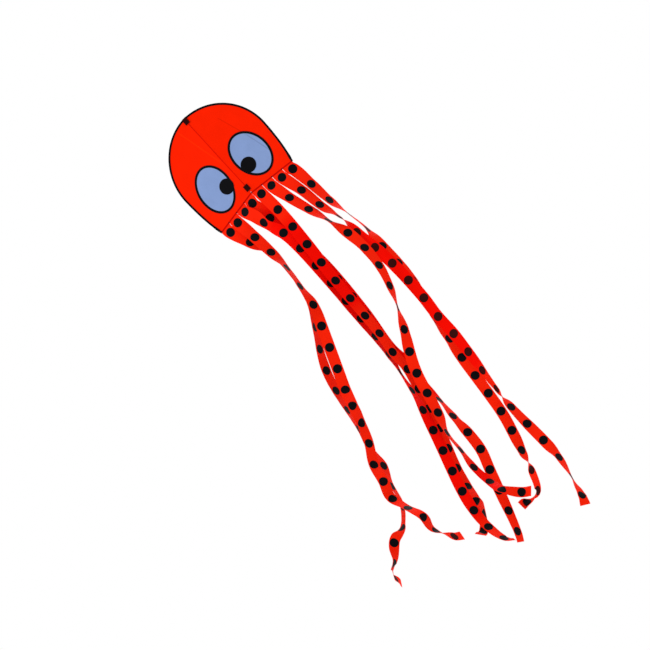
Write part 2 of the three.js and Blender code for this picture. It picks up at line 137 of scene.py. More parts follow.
PANEL_INSET = 8
PANEL_START = 1.3
PANEL_TUCK = 3
BINDING_START = 13.5
BINDING_END = CORNER[1] + 24.2
JOINER_REACH = 14.5
TAIL_TUCK = 6.5
HEM_RIPPLE = 0.25
RIPSTOP = 5.0
STITCH_LENGTH = 2.6
STITCH_PITCH = 3.6
TACK_LENGTH = 8
TACK_RINGS = 15

# How much wider the top of each tail is cut, on each side of its middle.
SPARE = (1.4, 1.4, 1.4, 1.4, 1.4, 0.4, 0.4, 0.4)

# How far each layer of an eye lies in front of the sail.
EYE_LIFT, RIM_LIFT, PUPIL_LIFT = 0.75, 1.5, 2.3

# Creases left by folding the sail for storage: ends along the wing (left is negative) and up, ridge height,
# and the painted light along it: how much lighter its colour is made, negative for painted shade.
CREASES = [
    ((-105, 388), (-18, 10), -1.5, 0.9),
    ((176, 264), (246, 42), 1.4, -0.26),
    ((246, 42), (300, -176), 1.4, -0.30),
]


def smoothstep(low, high, x):
    t = max(0.0, min(1.0, (x - low) / (high - low)))
    return t * t * (3 - 2 * t)


def lerp(a, b, t):
    return a + (b - a) * t


def around(count):
    """The cosine and sine at each step of a full turn."""
    return [(math.cos(2 * math.pi * k / count), math.sin(2 * math.pi * k / count)) for k in range(count)]


# ---- materials ----

def principled(name, color, roughness, specular):
    material = bpy.data.materials.new(name)
    material.use_nodes = True
    shader = material.node_tree.nodes["Principled BSDF"]
    shader.inputs["Base Color"].default_value = (*color, 1)
    shader.inputs["Roughness"].default_value = roughness
    shader.inputs["Specular IOR Level"].default_value = specular
    return material, shader


def linear(r, g, b):
    """A display colour, 0 to 255, as the linear colour that a shader takes."""
    return tuple(((c / 255 + 0.055) / 1.055) ** 2.4 if c > 10 else c / 255 / 12.92 for c in (r, g, b))


class Nodes:
    """Short calls for the maths of a procedural material."""

    def __init__(self, material):
        self.tree = material.node_tree

    def add(self, kind, **inputs):
        node = self.tree.nodes.new(kind)
        for key, value in inputs.items():
            self.put(node.inputs[key.replace("_", " ")], value)
        return node

    def put(self, socket, value):
        if isinstance(value, bpy.types.NodeSocket):
            self.tree.links.new(value, socket)
        else:
            socket.default_value = value

    def pair(self, kind, operation, a, b):
        node = self.tree.nodes.new(kind)
        node.operation = operation
        self.put(node.inputs[0], a)
        self.put(node.inputs[1], b)
        return node

    def math(self, operation, a, b=0.0):
        return self.pair("ShaderNodeMath", operation, a, b).outputs[0]

    def subtract(self, a, b):
        return self.pair("ShaderNodeVectorMath", "SUBTRACT", a, b).outputs["Vector"]

    def dot(self, a, b):
        return self.pair("ShaderNodeVectorMath", "DOT_PRODUCT", a, b).outputs["Value"]

    def ramp(self, value, low, high, to_low, to_high):
        node = self.add("ShaderNodeMapRange")
        for socket, v in zip(node.inputs, (value, low, high, to_low, to_high)):
            self.put(socket, v)
        return node.outputs[0]

    def noise(self, vector, scale, detail):
        return self.add("ShaderNodeTexNoise", Vector=vector, Scale=scale, Detail=detail).outputs["Fac"]

    def blend(self, a, b, share):
        node = self.tree.nodes.new("ShaderNodeMix")
        node.data_type = "VECTOR"
        self.put(node.inputs["Factor"], share)
        vectors = [socket for socket in node.inputs if socket.type == "VECTOR"]
        self.put(vectors[-2], (*a,))
        self.put(vectors[-1], (*b,))
        return next(socket for socket in node.outputs if socket.type == "VECTOR")

    def scaled(self, color, factor):
        node = self.tree.nodes.new("ShaderNodeVectorMath")
        node.operation = "SCALE"
        self.put(node.inputs[0], color)
        self.put(node.inputs["Scale"], factor)
        return node.outputs[0]


def painted_crease_light(n, across, up):
    """Painted highlight and shade along the sail's creases, a factor on its colour, from flat coordinates in
    metres.
    """
    shade = 1.0
    here = n.add("ShaderNodeCombineXYZ", X=across, Y=up).outputs[0]
    for start, end, _, painted_light_strength in CREASES:
        a, b = Vector(start) / 1000, Vector(end) / 1000
        length = (b - a).length
        along = (b - a).normalized()
        shifted = n.subtract(here, (*a, 0))
        reach = n.dot(shifted, (*along, 0))
        gap = n.math("ABSOLUTE", n.dot(shifted, (along.y, -along.x, 0)))
        line = n.ramp(gap, 0.0004, 0.0042, 1, 0)
        begun = n.ramp(reach, 0, 0.03, 0, 1)
        going = n.ramp(reach, length - 0.01, length + 0.02, 1, 0)
        faded = n.math("MULTIPLY", line, n.math("MULTIPLY", begun, going))
        shade = n.math("ADD", shade, n.math("MULTIPLY", faded, painted_light_strength))
    return shade


def woven(name, color, roughness, thread=0.7, ripstop=0.0, variation=0.08, specular=0.05, tint=None,
          sheen=0.02, slub=0.3, paints_crease_light=False, painted_shade=None):
    """Plain woven cloth. The cloth attribute runs along its threads, in metres. thread and ripstop are the
    pitches of its threads and of its thicker threads, in millimetres. deep is a stretch of its length, from
    and to in millimetres, where its colour is painted darker as shade, and its colour there."""
    material, shader = principled(name, color, roughness, specular)
    shader.inputs["Specular Tint"].default_value = (*(tint or color), 1)
    shader.inputs["Sheen Weight"].default_value = sheen
    shader.inputs["Sheen Roughness"].default_value = 0.5
    shader.inputs["Sheen Tint"].default_value = (*(tint or color), 1)
    n = Nodes(material)
    place = n.add("ShaderNodeAttribute")
    place.attribute_name = "cloth"
    cloth = place.outputs["Vector"]
    xyz = n.add("ShaderNodeSeparateXYZ", Vector=cloth)
    turns = 2 * math.pi * 1000 / thread
    warp = n.math("SINE", n.math("MULTIPLY", xyz.outputs[0], turns))
    weft = n.math("SINE", n.math("MULTIPLY", xyz.outputs[1], turns))
    weave = n.math("MULTIPLY", warp, weft)
    height = n.math("MULTIPLY", weave, 0.5)
    shade = n.ramp(weave, -1, 1, 0.97, 1.03)
    if ripstop:
        for axis in (0, 1):
            across = n.math("PINGPONG", xyz.outputs[axis], ripstop / 2000)
            line = n.ramp(across, 0.00018, 0.00034, 1, 0)
            height = n.math("ADD", height, n.math("MULTIPLY", line, 1.6))
            shade = n.math("MULTIPLY", shade, n.ramp(line, 0, 1, 1, 0.87))
    soft = n.noise(cloth, 9.0, 3.0)
    streak = n.noise(n.add("ShaderNodeMapping", Vector=cloth, Scale=(900, 14, 1)).outputs[0], 1.0, 1.0)
    shade = n.math("MULTIPLY", shade, n.ramp(soft, 0.3, 0.7, 1 - variation, 1 + variation * 0.4))
    shade = n.math("MULTIPLY", shade, n.ramp(streak, 0.3, 0.7, 1 - slub * 0.1, 1 + slub * 0.1))
    # Painted highlight and painted shade along the creases, multiplied into the colour.
    if paints_crease_light:
        shade = n.math("MULTIPLY", shade, painted_crease_light(n, xyz.outputs[0], xyz.outputs[1]))
    base = (*color,)
    # Painted shade along the stretch where another tail lies behind.
    if painted_shade:
        begin, end, shaded_colour = painted_shade
        entered = n.ramp(xyz.outputs[1], begin / 1000 - 0.06, begin / 1000 + 0.04, 0, 1)
        staying = n.ramp(xyz.outputs[1], end / 1000 - 0.04, end / 1000 + 0.08, 1, 0)
        base = n.blend(color, shaded_colour, n.math("MULTIPLY", entered, staying))
    n.put(shader.inputs["Base Color"], n.scaled(base, shade))
    n.put(shader.inputs["Roughness"], n.ramp(soft, 0.25, 0.75, roughness - 0.06, roughness + 0.06))
    bump = n.add("ShaderNodeBump", Strength=0.25, Distance=0.00012, Height=height)
    n.put(shader.inputs["Normal"], bump.outputs[0])
    return material


def moulded(name, color, roughness, grain, depth, stretch=(1, 1, 1)):
    """Rod or soft vinyl: fine grain with rubbed patches, in the object's own space."""
    material, shader = principled(name, color, roughness, 0.12)
    n = Nodes(material)
    place = n.add("ShaderNodeTexCoord").outputs["Object"]
    along = n.add("ShaderNodeMapping", Vector=place, Scale=stretch).outputs[0]
    fine = n.noise(along, grain, 3.0)
    worn = n.noise(place, 60.0, 4.0)
    rubbed = n.ramp(worn, 0.55, 0.75, 1.0, 1.72)
    shade = n.math("MULTIPLY", rubbed, n.ramp(fine, 0.2, 0.8, 0.8, 1.25))
    n.put(shader.inputs["Base Color"], n.scaled((*color,), shade))
    n.put(shader.inputs["Roughness"], n.ramp(worn, 0.3, 0.75, roughness - 0.05, roughness + 0.18))
    bump = n.add("ShaderNodeBump", Strength=0.4, Distance=depth, Height=fine)
    n.put(shader.inputs["Normal"], bump.outputs[0])
    return material


SAIL_RED = (0.90, 0.0140, 0.0004)
TAIL_RED = (0.92, 0.0165, 0.0028)
# The tails' red darkened as painted shade, where another tail behind keeps light from shining through.
SHADED_RED = (0.88, 0.0035, 0.0005)
BLACK_TINT = (0.6, 0.6, 0.7)

sail_cloth = woven("sail_ripstop", SAIL_RED, 0.6, ripstop=RIPSTOP, variation=0.04, paints_crease_light=True)
# Sail cloth painted darker red at the folded hem and the spine's seam: painted shade where the layers and the
# rod keep light from shining through.
hem_cloth_shaded = woven("hem_painted_shade", linear(188, 5, 1), 0.65, variation=0.10)
seam_cloth_shaded = woven("seam_painted_shade", linear(205, 9, 2), 0.65, variation=0.12)
dot_print = woven("dot_print", linear(8, 8, 10), 0.55, variation=0.25, specular=0.06,
                  tint=(0.5, 0.55, 0.7))
dot_behind = woven("dot_behind", linear(52, 15, 14), 0.6, variation=0.15)
black_cloth = woven("black_binding", linear(9, 9, 11), 0.6, thread=0.9, variation=0.3,
                    tint=BLACK_TINT, sheen=0.03)
eye_cloth = woven("eye_cloth", linear(127, 150, 197), 0.6, ripstop=RIPSTOP, variation=0.05,
                  tint=(0.7, 0.8, 1.0), paints_crease_light=True)
webbing = woven("tab_webbing", linear(44, 11, 10), 0.75, thread=1.6, variation=0.3,
                tint=(0.6, 0.3, 0.3), slub=1.2)
red_thread = woven("red_thread", linear(214, 22, 6), 0.6, thread=0.4, variation=0.1)
black_thread = woven("black_thread", linear(16, 16, 19), 0.6, thread=0.4, variation=0.2, tint=BLACK_TINT)
glass_fibre = moulded("glass_fibre_rod", linear(24, 24, 26), 0.42, 900, 0.00005, (1, 1, 0.02))
vinyl = moulded("vinyl_cap", linear(9, 9, 10), 0.6, 500, 0.0001)


# ---- building pieces ----

def mesh_object(name, points, faces, materials, cloth, face_material=None, sharp=55):
    """A mesh from millimetres. cloth is each point's place on its flat cloth."""
    mesh = bpy.data.meshes.new(name)
    mesh.from_pydata([Vector(p) / 1000 for p in points], [], faces)
    for material in materials:
        mesh.materials.append(material)
    if face_material is not None:
        mesh.polygons.foreach_set("material_index", face_material)
    attribute = mesh.attributes.new("cloth", "FLOAT_VECTOR", "POINT")
    attribute.data.foreach_set("vector", [c for u, v in cloth for c in (u / 1000, v / 1000, 0)])
    mesh.polygons.foreach_set("use_smooth", [True] * len(faces))
    mesh.set_sharp_from_angle(angle=math.radians(sharp))
    mesh.validate()
    piece = bpy.data.objects.new(name, mesh)
    bpy.context.scene.collection.objects.link(piece)
    return piece


def within_loops(loops, u, v):
    """True inside the first outline and outside the others."""
    crossings = 0
    for loop in loops:
        for (u0, v0), (u1, v1) in zip(loop, loop[1:] + loop[:1]):
            if (v0 > v) != (v1 > v) and u < u0 + (v - v0) / (v1 - v0) * (u1 - u0):
                crossings += 1
    return crossings % 2 == 1


def triangulated(loops, inner, inside):
    """Triangles between closed outlines and loose points of a flat cut, in millimetres."""
    points = []
    edges = []
    for loop in loops:
        first = len(points)
        points += loop
        edges += [(first + i, first + (i + 1) % len(loop)) for i in range(len(loop))]
    points += inner
    made = geometry.delaunay_2d_cdt([Vector(p) for p in points], edges, [], 0, 1e-4)
    flat = [tuple(p) for p in made[0]]
    kept = []
    for face in made[2]:
        middle = [sum(flat[i][k] for i in face) / len(face) for k in (0, 1)]
        if inside(*middle):
            kept.append(tuple(face))
    used = sorted({i for face in kept for i in face})
    place = {old: new for new, old in enumerate(used)}
    return [flat[i] for i in used], [tuple(place[i] for i in face) for face in kept]


def thin_cloth(name, flat, faces, place, thickness, materials, mark=None, flip=False, mirror=False):
    """Cloth with a front and a back. place gives a point and the direction its front faces. mark gives a flat
    point's material, and the back takes the material after the front's."""
    front, back, border = [], [], {}
    for u, v in flat:
        point, out = place(u, v)
        front.append(point + out * thickness / 2)
        back.append(point - out * thickness / 2)
    count = len(flat)
    solid, chosen = [], []
    for face in faces:
        forward = tuple(reversed(face)) if flip else face
        middle = [sum(flat[i][k] for i in face) / len(face) for k in (0, 1)]
        kind = mark(*middle) if mark else 0
        solid.append(forward)
        chosen.append(kind)
        solid.append(tuple(i + count for i in reversed(forward)))
        chosen.append(kind + 1 if mark else 0)
        for a, b in zip(forward, forward[1:] + forward[:1]):
            if (b, a) in border:
                del border[(b, a)]
            else:
                border[(a, b)] = kind
    for (a, b), kind in border.items():
        solid.append((b, a, a + count, b + count))
        chosen.append(kind)
    cloth = [(-u if mirror else u, v) for u, v in flat]
    return mesh_object(name, front + back, solid, materials, cloth * 2, chosen)


def grid(low, high, step, inside):
    """Loose points in a staggered grid, kept where inside says so."""
    found = []
    rows = int((high[1] - low[1]) / step)
    for row in range(1, rows):
        v = low[1] + row * step
        u = low[0] + step * (0.5 if row % 2 else 1)
        while u < high[0]:
            if inside(u, v):
                found.append((u, v))
            u += step
    return found


def swept(name, rings, material, cloth_width, inner=None, sharp=55):
    """A skin through rings of points. With inner rings it is a tube with a wall, and otherwise its ends are
    closed."""
    size = len(rings[0])
    points = [p for ring in rings for p in ring]
    lengths = [0.0]
    for before, after in zip(rings, rings[1:]):
        lengths.append(lengths[-1] + (Vector(after[0]) - Vector(before[0])).length)
    cloth = [(cloth_width * i / size, s) for s in lengths for i in range(size)]
    faces = []
    last = len(rings) - 1
    for r in range(last):
        for i in range(size):
            j = (i + 1) % size
            faces.append((r * size + i, r * size + j, (r + 1) * size + j, (r + 1) * size + i))
    if inner is None:
        faces.append(tuple(range(size - 1, -1, -1)))
        faces.append(tuple(last * size + i for i in range(size)))
    else:
        shift = len(points)
        points += [p for ring in inner for p in ring]
        cloth += cloth
        for r in range(last):
            for i in range(size):
                j = (i + 1) % size
                faces.append((shift + (r + 1) * size + i, shift + (r + 1) * size + j,
                              shift + r * size + j, shift + r * size + i))
        for i in range(size):
            j = (i + 1) % size
            end = last * size
            faces.append((j, i, shift + i, shift + j))
            faces.append((end + i, end + j, shift + end + j, shift + end + i))
    return mesh_object(name, points, faces, [material], cloth, sharp=sharp)


def stitched(name, runs, material, width=0.34, height=0.32):
    """Rows of thread stitches. Each run is a list of (point, direction its cloth faces)."""
    half = STITCH_LENGTH / 2
    points, faces, cloth = [], [], []
    for run in runs:
        travelled, wanted = 0.0, STITCH_PITCH / 2
        for (a, out_a), (b, out_b) in zip(run, run[1:]):
            step = (b - a).length
            while step > 0 and wanted <= travelled + step:
                t = (wanted - travelled) / step
                along = (b - a).normalized()
                out = out_a.lerp(out_b, t).normalized()
                side = along.cross(out)
                middle = a.lerp(b, t)
                first = len(points)
                points += [middle - along * half - out * 0.1, middle + along * half - out * 0.1,
                           middle + side * width, middle - side * width,
                           middle + out * height, middle - out * 0.15]
                cloth += [(0, wanted), (STITCH_LENGTH, wanted), (half, wanted + width),
                          (half, wanted - width), (half, wanted), (half, wanted)]
                for a_end, b_end in ((0, 2), (2, 1), (1, 3), (3, 0)):
                    faces.append((first + a_end, first + b_end, first + 4))
                    faces.append((first + b_end, first + a_end, first + 5))
                wanted += STITCH_PITCH
            travelled += step
    return mesh_object(name, points, faces, [material], cloth, sharp=80)


def bar_tack(name, low, section):
    """Tight stitches at the top of a slit. section gives a ring from its height and bulge, and whether it
    is at an end."""
    last = TACK_RINGS - 1
    rings = [section(low + TACK_LENGTH * i / last, 0.5 + 0.35 * (i % 2), i in (0, last))
             for i in range(TACK_RINGS)]
    tack = swept(name, rings, black_thread, 14, sharp=80)
    return tack


# ---- the wings' surface ----

def base_z(along):
    """The height of the sail's lower edge."""
    return FOOT_Z - along * math.tan(SLOPE)


def edge_curve(inset, steps=90):
    """The sail's curved edge from the nose to the lower corner, moved inwards. Its points are distances along
    the wing and up."""
    moved = []
    for i in range(steps):
        angle = math.pi / 2 * (1 - i / steps)
        x, z = DOME_HALF_WIDTH * math.cos(angle), DOME_HEIGHT * math.sin(angle)
        out = Vector((x / DOME_HALF_WIDTH ** 2, z / DOME_HEIGHT ** 2)).normalized()
        moved.append(Vector((x, z)) - out * inset)
    lower = round(steps * 0.6)
    start, pull, end = Vector((DOME_HALF_WIDTH, 0)), Vector(SIDE_PULL), Vector(CORNER)
    for i in range(lower + 1):
        t = i / lower
        point = start * (1 - t) ** 2 + pull * 2 * t * (1 - t) + end * t * t
        tangent = (pull - start) * (1 - t) + (end - pull) * t
        out = Vector((-tangent.y, tangent.x)).normalized()
        moved.append(point - out * inset)
    return moved


EDGE_BY_HEIGHT = [(p.y, p.x) for p in edge_curve(0)]


def edge_along(z):
    """How far the sail reaches from the spine at a height."""
    for (z0, x0), (z1, x1) in zip(EDGE_BY_HEIGHT, EDGE_BY_HEIGHT[1:]):
        if z1 <= z <= z0:
            return lerp(x1, x0, (z - z1) / (z0 - z1) if z0 > z1 else 0)
    return 1.0 if z > 0 else CORNER[0]


def crease(across, z, start, end, height):
    """A narrow ridge along a straight fold, fading at its ends."""
    a, b, here = Vector(start), Vector(end), Vector((across, z))
    t = max(0.0, min(1.0, (here - a).dot(b - a) / (b - a).length_squared))
    gap = (a.lerp(b, t) - here).length
    return height * smoothstep(0, 0.12, t) * smoothstep(1, 0.85, t) * math.exp(-gap / 4.5)


def sail_depth(side, along, z):
    """How far the cloth lies behind the flat wing: the wind's belly, pulls from the nose and the corner,
    puckers along the binding, loose cloth and creases."""
    reach = max(edge_along(z), 1.0)
    u = min(1.0, along / reach)
    above = z - base_z(along)
    edge_gap = reach - along
    if z > 0:
        edge_gap = (1 - math.hypot(along / DOME_HALF_WIDTH, z / DOME_HEIGHT)) * DOME_HEIGHT
    off_spine = smoothstep(0, 26, along)
    free = smoothstep(0, 90, above) * off_spine * smoothstep(7, 42, edge_gap)
    belly = 6.5 * math.sin(math.pi * u) ** 0.8 * smoothstep(-20, 260, above) * smoothstep(420, 250, z)
    nose = math.hypot(along, DOME_HEIGHT - z)
    turn = math.atan2(along, DOME_HEIGHT - z)
    pull = 0.8 * math.sin(26 * turn) * math.exp(-nose / 150) * smoothstep(20, 60, nose)
    corner = math.hypot(CORNER[0] - along, z - CORNER[1])
    turn = math.atan2(z - CORNER[1], CORNER[0] - along)
    pull += 0.9 * math.sin(20 * turn) * math.exp(-corner / 130) * smoothstep(20, 60, corner)
    pucker = 0.35 * math.sin(z / 4.3 + along / 6.1) * math.exp(-max(edge_gap - SLEEVE_WIDTH, 0) / 12)
    loose = 1.2 * noise.noise(Vector((along * side / 130, 3.7, z / 130)))
    loose += 0.35 * noise.noise(Vector((along * side / 38, 9.1, z / 38)))
    folds = sum(crease(side * along, z, start, end, height) for start, end, height, _ in CREASES)
    return belly * off_spine + (pull + loose + folds) * free + pucker * free


def on_wing(side, along, depth, z):
    """A point given along the wing, behind it and up, in the kite's frame."""
    x, y = side * along, depth
    turn = side * DIHEDRAL
    return Vector((x * math.cos(turn) - y * math.sin(turn), x * math.sin(turn) + y * math.cos(turn), z))


def ordered(side, ring):
    """A ring as it is for side 1, and turned over for side -1, so that both wings' skins face outwards."""
    return ring if side > 0 else ring[::-1]


def wing_front(side):
    return Vector((side * math.sin(DIHEDRAL), -math.cos(DIHEDRAL), 0))


def on_sail(side, lift):
    """Places flat cloth on the sail, that far in front of it."""
    out = wing_front(side)

    def place(along, z):
        return on_wing(side, along, sail_depth(side, along, z) - lift, z), out
    return place


def ellipse(centre, size, lean, count):
    loop = []
    for cosine, sine in around(count):
        x, z = size[0] * cosine, size[1] * sine
        loop.append((centre[0] + x * math.cos(lean) - z * math.sin(lean),
                     centre[1] + x * math.sin(lean) + z * math.cos(lean)))
    return loop


def in_eye(along, z, shrink):
    """True inside the eye's outline moved inwards."""
    x, y = along - EYE_CENTRE[0], z - EYE_CENTRE[1]
    across = x * math.cos(EYE_LEAN) + y * math.sin(EYE_LEAN)
    up = -x * math.sin(EYE_LEAN) + y * math.cos(EYE_LEAN)
    return (across / (EYE_SIZE[0] - shrink)) ** 2 + (up / (EYE_SIZE[1] - shrink)) ** 2 < 1


def eye_loop(shrink, count):
    return ellipse(EYE_CENTRE, [a - shrink for a in EYE_SIZE], EYE_LEAN, count)


def applique(name, side, loops, inside, step, lift, thickness, material):
    """Flat cloth sewn onto the sail, between closed outlines. inside says where its loose points may lie."""
    us, vs = [p[0] for p in loops[0]], [p[1] for p in loops[0]]
    inner = grid((min(us), min(vs)), (max(us), max(vs)), step, inside)
    flat, faces = triangulated(loops, inner, lambda u, v: within_loops(loops, u, v))
    return thin_cloth(name, flat, faces, on_sail(side, lift), thickness, [material],
                      flip=side < 0, mirror=side < 0)


def line_on_sail(side, line, lift):
    place = on_sail(side, lift)
    return [place(along, z) for along, z in line]


def bend_with_wing(piece):
    """Bakes a piece's transform into its mesh."""
    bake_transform(piece)
    return piece


# ---- the wings ----

def panel_outline():
    """The cut of a sail panel: its curved edge inside the binding, its foot inside the hem, and the spine."""
    curved = [(p.x, p.y) for p in edge_curve(PANEL_INSET) if p.x > PANEL_START + 1]
    curved = [(along, z) for along, z in curved if z > base_z(along) + PANEL_TUCK + 1]
    top = (PANEL_START, curved[0][1])
    ends = [lerp(curved[-1][0], PANEL_START, i / 40) for i in range(41)]
    foot = [(along, base_z(along) + PANEL_TUCK) for along in ends]
    spine = [(PANEL_START, lerp(foot[-1][1], top[1], i / 80)) for i in range(1, 80)]
    return [top] + curved + foot + spine


def build_panel(side, name):
    def within(along, z):
        return along > PANEL_START and z > base_z(along) + PANEL_TUCK

    def inside(along, z):
        if along < PANEL_START or z < base_z(along) + PANEL_TUCK:
            return False
        across, up = along / (DOME_HALF_WIDTH - PANEL_INSET), z / (DOME_HEIGHT - PANEL_INSET)
        return along < edge_along(z) - PANEL_INSET - 0.5 and (z < 0 or across ** 2 + up ** 2 < 1)

    def well_inside(along, z):
        return all(inside(along + x, z + y) for x, y in ((-3, 0), (3, 0), (0, -3), (0, 3)))

    inner = grid((0, CORNER[1]), (DOME_HALF_WIDTH, DOME_HEIGHT), 7.0, well_inside)
    flat, faces = triangulated([panel_outline()], inner, within)
    piece = thin_cloth(name, flat, faces, on_sail(side, 0), 0.5, [sail_cloth], flip=side < 0, mirror=side < 0)
    corners = [[Vector(flat[i]) for i in face] for face in faces]
    area = sum(abs((b - a).cross(c - a)) / 2 for a, b, c in corners) / 1e6
    return piece, area


def build_sleeve(side, name):
    """Black binding folded round the bow rod and sewn to the sail along a flat edge. It is thicker at the
    corner, where its end is folded back."""
    line = [p for p in edge_curve(ROD_INSET, 110) if p.x > BINDING_START]
    centre = [p for p in line if p.y > BINDING_END + 1]
    above, below = centre[-1], line[len(centre)]
    centre.append(above.lerp(below, (above.y - BINDING_END) / (above.y - below.y)))
    rings, bores = [], []
    travelled = 0
    for i, point in enumerate(centre):
        before, after = centre[max(i - 1, 0)], centre[min(i + 1, len(centre) - 1)]
        tangent = (after - before).normalized()
        inward = Vector((tangent.y, -tangent.x))
        if i:
            travelled += (point - centre[i - 1]).length
        gather = 0.22 * math.sin(travelled / 5.1) + 0.3 * noise.noise(Vector((travelled / 30, side * 5, 0)))
        folded = smoothstep(CORNER[1] + 90, CORNER[1] + 40, point.y)
        ring, bore = [], []
        for across, depth in around(20):
            offset = across * ((7.0 if across < 0 else 8.8) + 1.6 * folded)
            thick = (3.1 + gather + 0.8 * folded) * lerp(1, 0.25, smoothstep(0.15, 1.0, across))
            place = point + inward * offset
            belly = sail_depth(side, max(place.x, 0), place.y) * smoothstep(2, 7.6, offset)
            ring.append(on_wing(side, place.x, depth * thick + belly, place.y))
            hole = point + inward * across * 2.3
            bore.append(on_wing(side, hole.x, depth * 2.3, hole.y))
        rings.append(ordered(side, ring))
        bores.append(ordered(side, bore))
    return swept(name, rings, black_cloth, 30, inner=bores)


def hem_ripple(along):
    return HEM_RIPPLE * math.sin(along / 3.3)


def build_hem(side, name):
    """The base hem: cloth folded over, with the tails' top edges between its two leaves."""
    end = CORNER[0] - SLEEVE_WIDTH + 1
    section = [(-1.25, 0.6), (-1.5, 2.6), (-1.3, 7.8), (-0.9, 9.7), (-0.35, 10.2), (0.35, 10.2), (0.9, 9.7),
               (1.3, 7.8), (1.5, 2.6), (1.25, 0.6), (0.7, 0.0), (-0.7, 0.0)]
    steps = 70
    rings = []
    for i in range(steps + 1):
        along = lerp(0.6, end, i / steps)
        ripple = hem_ripple(along) * smoothstep(0, 20, along)
        ring = [on_wing(side, along, y + ripple, base_z(along) + z) for y, z in section]
        rings.append(ordered(-side, ring))
    return swept(name, rings, hem_cloth_shaded, 26)


def build_eye(side):
    """The eye's cloth, its black outline over the edge of that, and the pupil over both."""
    word = WINGS[side]
    rim_edge = EYE_RIM - 4
    centre = PUPIL_CENTRES[side]

    def in_white(u, v):
        return in_eye(u, v, rim_edge + 2.5)

    def in_rim(u, v):
        return in_eye(u, v, 3) and not in_eye(u, v, EYE_RIM - 3)

    def in_pupil(u, v):
        return math.hypot(u - centre[0], v - centre[1]) < PUPIL_RADIUS - 2

    white = applique(f"eye_{word}", side, [eye_loop(rim_edge, 100)], in_white, 8, EYE_LIFT, 0.4, eye_cloth)
    rim = applique(f"eye_outline_{word}", side, [eye_loop(0, 120), eye_loop(EYE_RIM, 110)], in_rim,
                   6.0, RIM_LIFT, 0.5, black_cloth)
    disc = ellipse(centre, (PUPIL_RADIUS, PUPIL_RADIUS), 0, 72)
    pupil = applique(f"pupil_disc_{word}", side, [disc], in_pupil, 8, PUPIL_LIFT, 0.5, black_cloth)
    for piece, node, slot in ((white, "eye_white", "eye_cloth"), (rim, "eye_rim", "black_binding"),
                              (pupil, "pupil", "black_binding")):
        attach(piece, f"{word}_wing")
        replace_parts(piece, f"{node}_{word}")
    return [white, rim, pupil]


def sew_black(side):
    """Black stitches round the eye's outline and the pupil, and along the binding."""
    loops = [(eye_loop(1.8, 160), RIM_LIFT + 0.3), (eye_loop(EYE_RIM - 1.8, 160), RIM_LIFT + 0.3),
             (ellipse(PUPIL_CENTRES[side], (PUPIL_RADIUS - 2,) * 2, 0, 80), PUPIL_LIFT + 0.3)]
    runs = [line_on_sail(side, loop + loop[:1], lift) for loop, lift in loops]
    flange = [(p.x, p.y) for p in edge_curve(ROD_INSET + 7.4, 160) if p.x > 16 and p.y > CORNER[1] + 26]
    runs.append(line_on_sail(side, flange, 0.95))
    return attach(stitched(f"black_stitches_{WINGS[side]}", runs, black_thread), f"{WINGS[side]}_wing")


def sew_hem(side):
    runs = []
    for height in (2.2, 8.6):
        run = []
        for i in range(61):
            along = lerp(12, CORNER[0] - SLEEVE_WIDTH - 4, i / 60)
            point = on_wing(side, along, hem_ripple(along) - 1.5, base_z(along) + height)
            run.append((point, wing_front(side)))
        runs.append(run)
    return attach(stitched(f"hem_stitches_{WINGS[side]}", runs, red_thread), f"{WINGS[side]}_wing")


def tack_slit(side, slit):
    """The tack at the top of the slit between two tails of a wing."""
    middle = slit * TAIL_PITCH

    def section(z, bulge, at_end):
        half = 2.9 if at_end else 3.4
        profile = ((-half, -1.75), (-half * 0.6, -1.9 - bulge), (half * 0.6, -1.9 - bulge), (half, -1.75))
        return ordered(side, [on_wing(side, middle + x, y, z) for x, y in profile])

    tack = bar_tack(f"tack_{WINGS[side]}_{slit}", base_z(middle) + 0.8, section)
    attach(tack, f"{WINGS[side]}_wing")
    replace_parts(tack, f"bar_tack_{WINGS[side]}_{slit}")
    return tack


def build_wing(side):
    word = WINGS[side]
    panel, area = build_panel(side, f"sail_{word}")
    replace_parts(panel, f"sail_panel_{word}")
    bend_with_wing(panel)

    hem = build_hem(side, f"hem_{word}")
    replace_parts(hem, f"base_hem_{word}")
    bend_with_wing(hem)

    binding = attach(build_sleeve(side, f"edge_binding_{word}"), f"{word}_wing")
    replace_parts(binding, f"edge_sleeve_{word}")

    sewn_on = [hem, *build_eye(side), sew_black(side), sew_hem(side)]
    sewn_on += [tack_slit(side, slit) for slit in range(1, TAILS_PER_WING)]


# ---- the spine and the tabs ----

FRONT = Vector((0, -1, 0))


def build_spine_sleeve():
    """A tube of sail cloth round the spine rod, with the seam between the wings standing forward of it."""
    rings, bores = [], []
    low, high = SPINE_SLEEVE_Z
    steps = 84
    neck = math.asin(0.9 / 3.7)
    for i in range(steps + 1):
        z = lerp(high, low, i / steps)
        gather = 0.16 * math.sin(z / 4.7) + 0.2 * noise.noise(Vector((z / 40, 1.7, 0)))
        ring = [(-0.5, -1.75), (0.5, -1.75), (2.3, -1.25), (2.3, -0.85), (0.9, -0.7), (0.9, 2.2)]
        for k in range(15):
            angle = math.pi / 2 - neck - (2 * math.pi - 2 * neck) * k / 14
            radius = 3.55 + gather * math.sin(angle * 1.5) * 0.6
            ring.append((radius * math.cos(angle), SPINE_Y - radius * math.sin(angle)))
        ring += [(-0.9, 2.2), (-0.9, -0.7), (-2.3, -0.85), (-2.3, -1.25)]
        bore = []
        for x, y in ring:
            out = Vector((x, y - SPINE_Y)).normalized() * 2.95
            bore.append((out.x, SPINE_Y + out.y))
        rings.append([Vector((x, y, z)) for x, y in ring])
        bores.append([Vector((x, y, z)) for x, y in bore])
    return swept("spine_channel", rings, seam_cloth_shaded, 24, inner=bores)


def bend_tab(piece):
    """Half of a tab, its transform baked into its mesh."""
    return bend_with_wing(piece)


